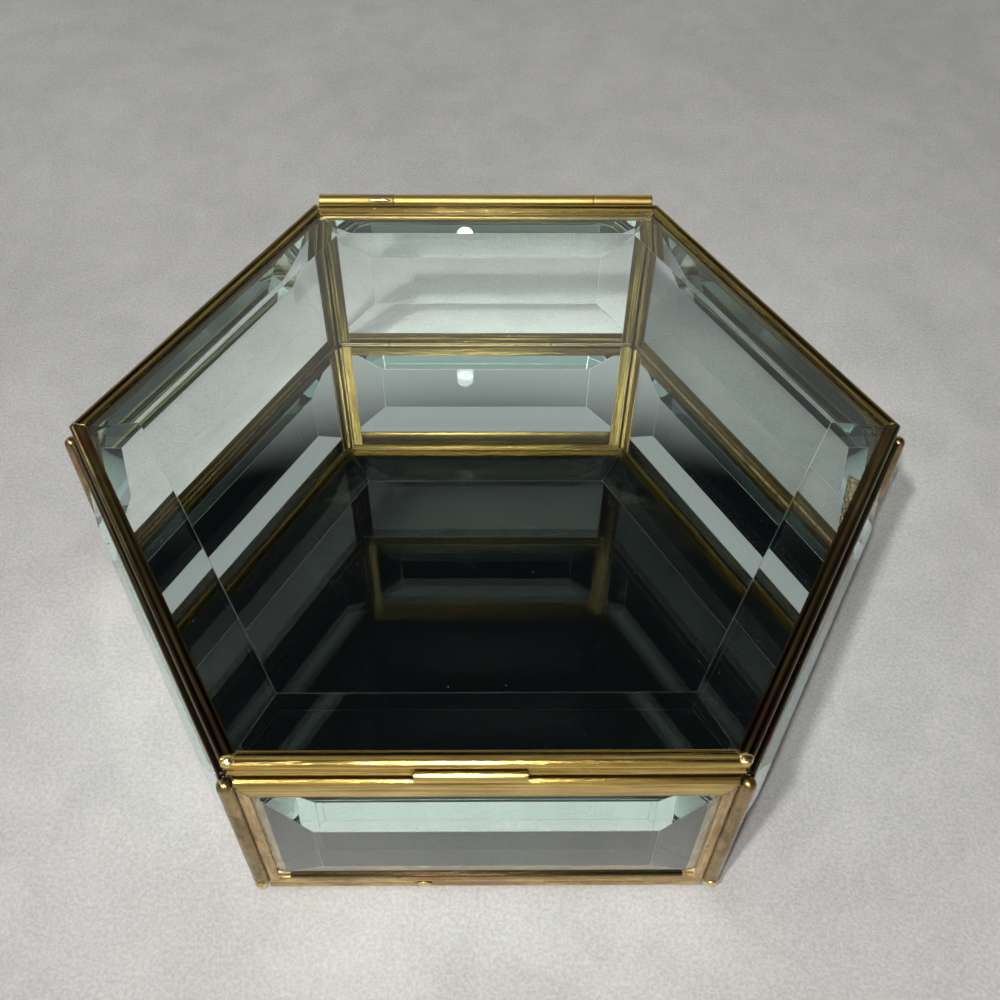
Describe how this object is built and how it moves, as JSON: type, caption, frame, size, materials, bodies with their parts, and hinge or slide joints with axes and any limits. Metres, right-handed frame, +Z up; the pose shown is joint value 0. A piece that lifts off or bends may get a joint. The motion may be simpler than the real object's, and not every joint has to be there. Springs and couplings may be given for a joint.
{
  "type": "glass casket box",
  "caption": "Hexagonal keepsake casket of bevelled glass in aged brass channel, with a mirror floor, tube hinge and stay chain.",
  "frame": {"origin": "middle of the outline at the underside of the base frame, on the table", "axes": "+Z up, -Y the front with the lift tab, +Y the back with the hinge, corners of the hexagon at +X and -X"},
  "size_m": [0.1818, 0.1602, 0.0546],
  "materials": {
    "aged_brass": "aged polished brass, dark olive brown with maroon tarnish and bright worn edges",
    "bright_brass": "fine bright brass wire",
    "solder": "brass plated solder with bright domed ends",
    "bevelled_glass": "clear bevelled glass with teal green edges",
    "mirror": "silvered mirror glass, mirror side up under clear glass"
  },
  "bodies": {
    "box": {"mirror_base": "mirror", "base_frame": "aged_brass", "wall_pane_front": "bevelled_glass", "wall_pane_front_right": "bevelled_glass", "wall_pane_back_right": "bevelled_glass", "wall_pane_back": "bevelled_glass", "wall_pane_back_left": "bevelled_glass", "wall_pane_front_left": "bevelled_glass", "rim_rail_front": "aged_brass", "rim_rail_front_right": "aged_brass", "rim_rail_back_right": "aged_brass", "rim_rail_back": "aged_brass", "rim_rail_back_left": "aged_brass", "rim_rail_front_left": "aged_brass", "foot_rail_front": "aged_brass", "foot_rail_front_right": "aged_brass", "foot_rail_back_right": "aged_brass", "foot_rail_back": "aged_brass", "foot_rail_back_left": "aged_brass", "foot_rail_front_left": "aged_brass", "side_channel_front_a": "aged_brass", "side_channel_front_b": "aged_brass", "side_channel_front_right_a": "aged_brass", "side_channel_front_right_b": "aged_brass", "side_channel_back_right_a": "aged_brass", "side_channel_back_right_b": "aged_brass", "side_channel_back_a": "aged_brass", "side_channel_back_b": "aged_brass", "side_channel_back_left_a": "aged_brass", "side_channel_back_left_b": "aged_brass", "side_channel_front_left_a": "aged_brass", "side_channel_front_left_b": "aged_brass", "corner_post_right": "solder", "corner_post_back_right": "solder", "corner_post_back_left": "solder", "corner_post_left": "solder", "corner_post_front_left": "solder", "corner_post_front_right": "solder", "rim_knuckle_left": "aged_brass", "rim_knuckle_right": "aged_brass", "hinge_pin": "bright_brass", "rim_chain_eye": "bright_brass"},
    "lid": {"lid_pane": "bevelled_glass", "lid_rail_front": "aged_brass", "lid_rail_front_right": "aged_brass", "lid_rail_back_right": "aged_brass", "lid_rail_back": "aged_brass", "lid_rail_back_left": "aged_brass", "lid_rail_front_left": "aged_brass", "lid_knuckle": "aged_brass", "lift_tab": "aged_brass", "lid_chain_eye": "bright_brass"},
    "chain_rim_upper": {"chain_rim_hang": "bright_brass"},
    "chain_rim_lower": {"chain_rim_lay": "bright_brass"},
    "chain_lid_upper": {"chain_lid_hang": "bright_brass"},
    "chain_lid_lower": {"chain_lid_lay": "bright_brass"}
  },
  "joints": [
    {"name": "lid_hinge", "type": "hinge", "parent": "box", "child": "lid", "pos_m": [0, 0.07837, 0.0528], "axis": [-1, 0, 0], "range_deg": [0, 95]},
    {"name": "chain_rim_swing", "type": "hinge", "parent": "box", "child": "chain_rim_upper", "pos_m": [0.07658, -0.00922, 0.0454], "axis": [-0.0966, 0.9293, -0.3564], "range_deg": [0, 183.84]},
    {"name": "chain_rim_knee", "type": "hinge", "parent": "chain_rim_upper", "child": "chain_rim_lower", "pos_m": [0.07658, -0.00922, 0.0046], "axis": [0.866, -0.5, 0], "range_deg": [0, 90.01]},
    {"name": "chain_lid_swing", "type": "hinge", "parent": "lid", "child": "chain_lid_upper", "pos_m": [0.07566, -0.01481, 0.0475], "axis": [0.7098, 0.3099, -0.6326], "range_deg": [0, 70.47]},
    {"name": "chain_lid_knee", "type": "hinge", "parent": "chain_lid_upper", "child": "chain_lid_lower", "pos_m": [0.07566, -0.01481, 0.0046], "axis": [0.866, -0.5, 0], "range_deg": [0, 90.01]}
  ],
  "couplings": [
    {"joint": "chain_rim_swing", "follows": "lid_hinge", "ratio": 1.935},
    {"joint": "chain_rim_knee", "follows": "lid_hinge", "ratio": 0.94737},
    {"joint": "chain_lid_swing", "follows": "lid_hinge", "ratio": 0.7417},
    {"joint": "chain_lid_knee", "follows": "lid_hinge", "ratio": 0.94737}
  ]
}
